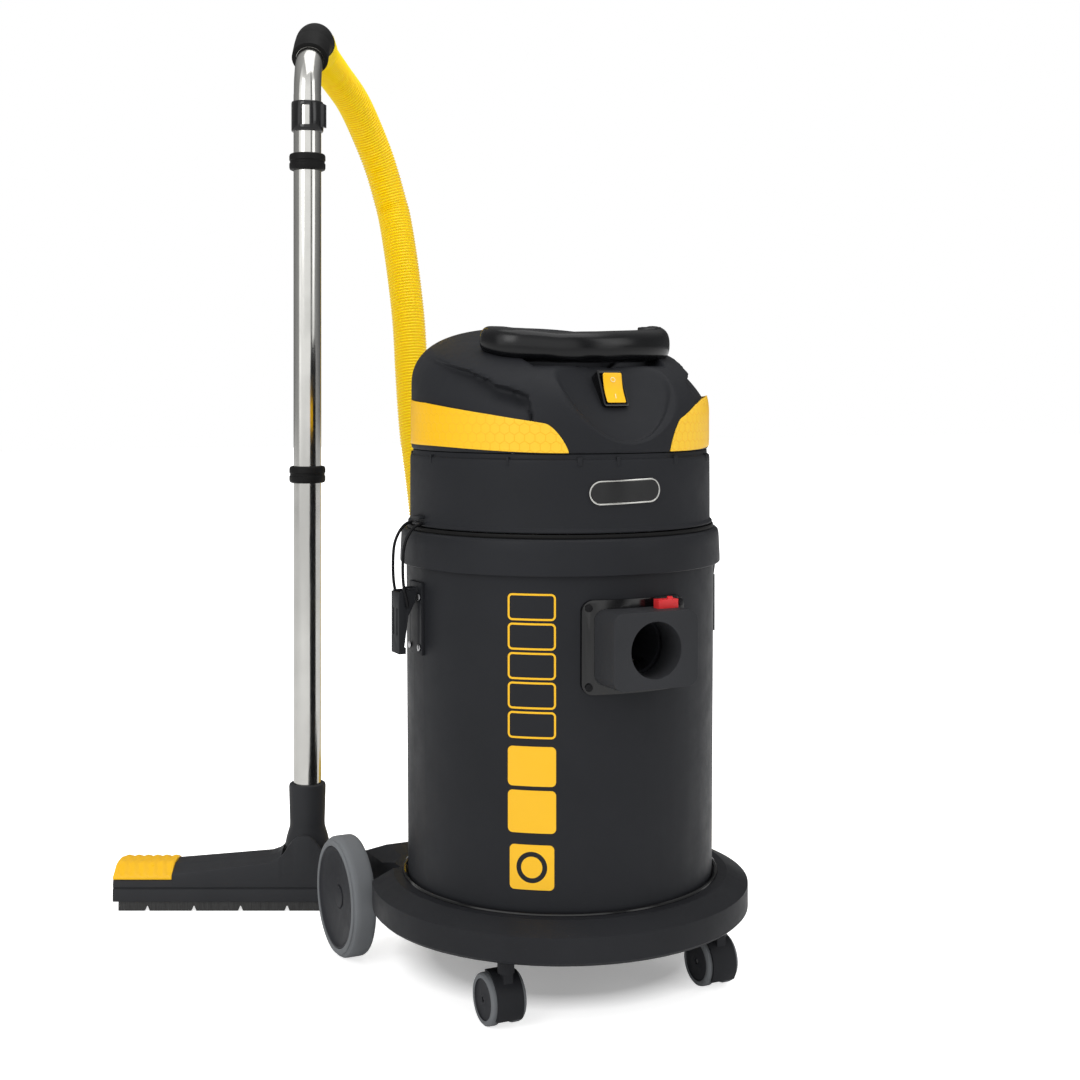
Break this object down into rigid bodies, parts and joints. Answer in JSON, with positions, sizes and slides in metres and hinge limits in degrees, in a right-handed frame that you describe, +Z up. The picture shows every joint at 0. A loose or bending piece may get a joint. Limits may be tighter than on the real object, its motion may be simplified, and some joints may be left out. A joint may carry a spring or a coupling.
{
  "type": "wheeled wet and dry drum vacuum cleaner",
  "caption": "Wheeled drum vacuum cleaner for wet and dry use, with lift-off motor head, latches, chromed wand, ribbed hose and tilting floor tool.",
  "frame": {"origin": "on the ground under the middle of the box round the machine and its wand, without the hose", "axes": "+Z up, -Y the machine's front with the hose inlet, +X to its right seen from the front"},
  "size_m": [0.9237, 1.0197, 1.1673],
  "materials": {
    "black_plastic": "satin moulded",
    "textured_plastic": "fine grain, moulded",
    "gloss_black": "glossy",
    "inner_grey": "moulded",
    "wheel_grey": "moulded",
    "tyre_grey": "matt rubber",
    "soft_black": "matt rubber",
    "chrome": "polished",
    "steel": "bright",
    "yellow_plastic": "satin moulded",
    "yellow_hose": "ribbed, satin",
    "red_plastic": "satin moulded",
    "filter_paper": "pleated",
    "bristle": "dense bristle"
  },
  "bodies": {
    "machine": {"dolly_base": "textured_plastic", "rear_axle": "steel", "tank": "black_plastic", "rim_band": "black_plastic", "rim_seal": "soft_black", "inlet_plate": "black_plastic", "inlet_block": "black_plastic", "inlet_screws": "steel", "inlet_elbow": "black_plastic", "latch_bracket_left": "black_plastic", "latch_bracket_right": "black_plastic", "latch_rivets": "steel"},
    "rear_wheel_left": {"rear_hub_left": "wheel_grey", "rear_tyre_left": "tyre_grey"},
    "rear_wheel_right": {"rear_hub_right": "wheel_grey", "rear_tyre_right": "tyre_grey"},
    "castor_left": {"castor_hood_left": "textured_plastic", "castor_axle_left": "steel"},
    "castor_wheel_left_a": {"castor_wheel_left_a": "wheel_grey"},
    "castor_wheel_left_b": {"castor_wheel_left_b": "wheel_grey"},
    "castor_right": {"castor_hood_right": "textured_plastic", "castor_axle_right": "steel"},
    "castor_wheel_right_a": {"castor_wheel_right_a": "wheel_grey"},
    "castor_wheel_right_b": {"castor_wheel_right_b": "wheel_grey"},
    "latch_lever_left": {"latch_lever_left": "black_plastic"},
    "latch_bail_left": {"latch_bail_left": "steel"},
    "latch_lever_right": {"latch_lever_right": "black_plastic"},
    "latch_bail_right": {"latch_bail_right": "steel"},
    "head": {"head_ring": "black_plastic", "head_cover": "black_plastic", "trim_left": "yellow_plastic", "trim_right": "yellow_plastic", "badge_plate": "gloss_black", "carry_handle": "gloss_black", "switch_frame": "soft_black", "cable_gland": "soft_black", "motor_housing": "inner_grey", "filter_cage": "inner_grey", "filter_cartridge": "filter_paper", "head_screws": "steel"},
    "switch_rocker": {"switch_rocker": "yellow_plastic"},
    "impeller": {"impeller": "steel"},
    "float_ball": {"float_ball": "inner_grey"},
    "inlet_button": {"inlet_button": "red_plastic"},
    "wand": {"wand_tube_lower": "chrome", "wand_tube_middle": "chrome", "wand_tube_upper": "chrome", "wand_collar_lower": "soft_black", "wand_collar_upper": "soft_black", "wand_elbow": "soft_black", "tool_neck": "black_plastic", "hose": "yellow_hose", "hose_cuff": "soft_black"},
    "air_valve_ring": {"air_valve_ring": "gloss_black"},
    "tool": {"tool_body": "black_plastic", "tool_cap_left": "yellow_plastic", "tool_cap_right": "yellow_plastic", "tool_brush_front": "bristle", "tool_brush_rear": "bristle"}
  },
  "joints": [
    {"name": "rear_wheel_left_spin", "type": "hinge", "parent": "machine", "child": "rear_wheel_left", "pos_m": [-0.10554, 0.00958, 0.07], "axis": [1, 0, 0], "continuous": true},
    {"name": "rear_wheel_right_spin", "type": "hinge", "parent": "machine", "child": "rear_wheel_right", "pos_m": [0.31246, 0.00958, 0.07], "axis": [1, 0, 0], "continuous": true},
    {"name": "castor_left_swivel", "type": "hinge", "parent": "machine", "child": "castor_left", "pos_m": [-0.02804, -0.27542, 0.07], "axis": [0, 0, 1], "continuous": true},
    {"name": "castor_wheel_left_a_spin", "type": "hinge", "parent": "castor_left", "child": "castor_wheel_left_a", "pos_m": [-0.02804, -0.25942, 0.0275], "axis": [1, 0, 0], "continuous": true},
    {"name": "castor_wheel_left_b_spin", "type": "hinge", "parent": "castor_left", "child": "castor_wheel_left_b", "pos_m": [-0.02804, -0.25942, 0.0275], "axis": [1, 0, 0], "continuous": true},
    {"name": "castor_right_swivel", "type": "hinge", "parent": "machine", "child": "castor_right", "pos_m": [0.23496, -0.27542, 0.07], "axis": [0, 0, 1], "continuous": true},
    {"name": "castor_wheel_right_a_spin", "type": "hinge", "parent": "castor_right", "child": "castor_wheel_right_a", "pos_m": [0.23496, -0.25942, 0.0275], "axis": [1, 0, 0], "continuous": true},
    {"name": "castor_wheel_right_b_spin", "type": "hinge", "parent": "castor_right", "child": "castor_wheel_right_b", "pos_m": [0.23496, -0.25942, 0.0275], "axis": [1, 0, 0], "continuous": true},
    {"name": "latch_lever_left_hinge", "type": "hinge", "parent": "machine", "child": "latch_lever_left", "pos_m": [-0.08454, -0.14042, 0.446], "axis": [0, 1, 0], "range_deg": [0, 95]},
    {"name": "latch_bail_left_hinge", "type": "hinge", "parent": "latch_lever_left", "child": "latch_bail_left", "pos_m": [-0.09154, -0.14042, 0.432], "axis": [0, 1, 0], "range_deg": [-105, 0]},
    {"name": "latch_lever_right_hinge", "type": "hinge", "parent": "machine", "child": "latch_lever_right", "pos_m": [0.29146, -0.14042, 0.446], "axis": [0, -1, 0], "range_deg": [0, 95]},
    {"name": "latch_bail_right_hinge", "type": "hinge", "parent": "latch_lever_right", "child": "latch_bail_right", "pos_m": [0.29846, -0.14042, 0.432], "axis": [0, -1, 0], "range_deg": [-105, 0]},
    {"name": "head_lift", "type": "slide", "parent": "machine", "child": "head", "axis": [0, 0, 1], "range_m": [0, 0.3]},
    {"name": "switch_tilt", "type": "hinge", "parent": "head", "child": "switch_rocker", "pos_m": [0.10346, -0.26442, 0.671], "axis": [1, 0, 0], "range_deg": [-12, 0]},
    {"name": "impeller_spin", "type": "hinge", "parent": "head", "child": "impeller", "pos_m": [0.10346, -0.14042, 0.56], "axis": [0, 0, 1], "continuous": true},
    {"name": "float_rise", "type": "slide", "parent": "head", "child": "float_ball", "axis": [0, 0, 1], "range_m": [0, 0.138]},
    {"name": "inlet_button_press", "type": "slide", "parent": "machine", "child": "inlet_button", "axis": [0, 0, -1], "range_m": [0, 0.004], "stiffness_N_per_m": 400, "springref_m": -0.002},
    {"name": "wand_lift", "type": "slide", "parent": "machine", "child": "wand", "axis": [-0.12, 0.3001, 0.9463], "range_m": [0, 0.3]},
    {"name": "air_valve_turn", "type": "hinge", "parent": "wand", "child": "air_valve_ring", "pos_m": [-0.08654, 0.21658, 1.027], "axis": [0, 0, 1], "range_deg": [-30, 60]},
    {"name": "tool_tilt", "type": "hinge", "parent": "wand", "child": "tool", "pos_m": [-0.08654, 0.21658, 0.062], "axis": [0.8988, -0.4384, 0], "range_deg": [-15, 60]}
  ],
  "couplings": [
    {"joint": "latch_bail_left_hinge", "follows": "latch_lever_left_hinge", "ratio": -1.1},
    {"joint": "latch_bail_right_hinge", "follows": "latch_lever_right_hinge", "ratio": -1.1}
  ]
}
